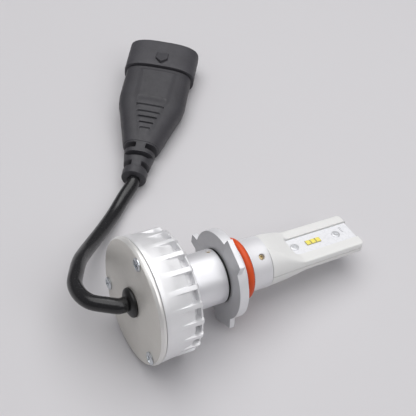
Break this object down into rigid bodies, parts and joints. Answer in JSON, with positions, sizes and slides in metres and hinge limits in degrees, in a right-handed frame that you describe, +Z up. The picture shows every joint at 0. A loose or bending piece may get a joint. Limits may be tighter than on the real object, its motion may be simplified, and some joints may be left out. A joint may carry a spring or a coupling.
{
  "type": "headlight bulb",
  "caption": "LED headlight bulb: flat two-sided LED post, three-lug twist-in base with a seal ring, finned drum heat sink, short lead with an open-mouth plug.",
  "frame": {"origin": "on the surface the bulb lies on, under the middle of the bulb's bounding box (the lead and plug left out)", "axes": "+Z up, +X along the bulb's length towards the LED end (the bulb's own axis dips below +X by its resting pitch), +Y towards the plug"},
  "size_m": [0.1091, 0.164, 0.0472],
  "materials": {
    "satin_aluminium": "satin",
    "cover_paint": "satin",
    "screw_steel": "polished",
    "set_screw_brass": "satin",
    "post_white": "satin",
    "board_white": "gloss",
    "led_phosphor": "satin",
    "core_copper": "satin",
    "seal_silicone": "matte",
    "black_rubber": "matte",
    "cable_jacket": "satin",
    "plug_plastic": "matte",
    "fibreglass_board": "matte",
    "component_black": "matte",
    "capacitor_can": "satin",
    "thermal_pad": "matte",
    "wire_insulation": "satin"
  },
  "bodies": {
    "bulb": {"board_screw_lower_1": "screw_steel", "board_screw_lower_2": "screw_steel", "board_screw_upper_1": "screw_steel", "board_screw_upper_2": "screw_steel", "cable": "cable_jacket", "cable_grommet": "black_rubber", "core_plate": "core_copper", "cover_gasket": "black_rubber", "cover_screw_1": "screw_steel", "cover_screw_2": "screw_steel", "cover_screw_3": "screw_steel", "driver_board": "fibreglass_board", "driver_capacitor_1": "capacitor_can", "driver_capacitor_2": "capacitor_can", "driver_chip": "component_black", "driver_choke": "component_black", "driver_pad": "thermal_pad", "heat_sink": "satin_aluminium", "lead_wire_lower": "wire_insulation", "lead_wire_upper": "wire_insulation", "led_board_lower": "board_white", "led_board_upper": "board_white", "led_chip_lower_1": "led_phosphor", "led_chip_lower_2": "led_phosphor", "led_chip_lower_3": "led_phosphor", "led_chip_upper_1": "led_phosphor", "led_chip_upper_2": "led_phosphor", "led_chip_upper_3": "led_phosphor", "neck_gasket": "black_rubber", "neck_set_screw": "set_screw_brass", "neck_sleeve": "satin_aluminium", "plug_overmould": "plug_plastic", "plug_shell": "plug_plastic", "plug_terminal_1": "screw_steel", "plug_terminal_2": "screw_steel", "post_half_lower": "post_white", "post_half_upper": "post_white", "rear_cover": "cover_paint", "supply_wire_1": "wire_insulation", "supply_wire_2": "wire_insulation"},
    "base_collar": {"base_collar": "satin_aluminium", "base_seal": "seal_silicone", "collar_set_screw": "set_screw_brass"}
  },
  "joints": [
    {"name": "collar_turn", "type": "hinge", "parent": "bulb", "child": "base_collar", "pos_m": [-0.00737, 0, 0.01909], "axis": [0.9893, 0, -0.1456], "continuous": true}
  ]
}
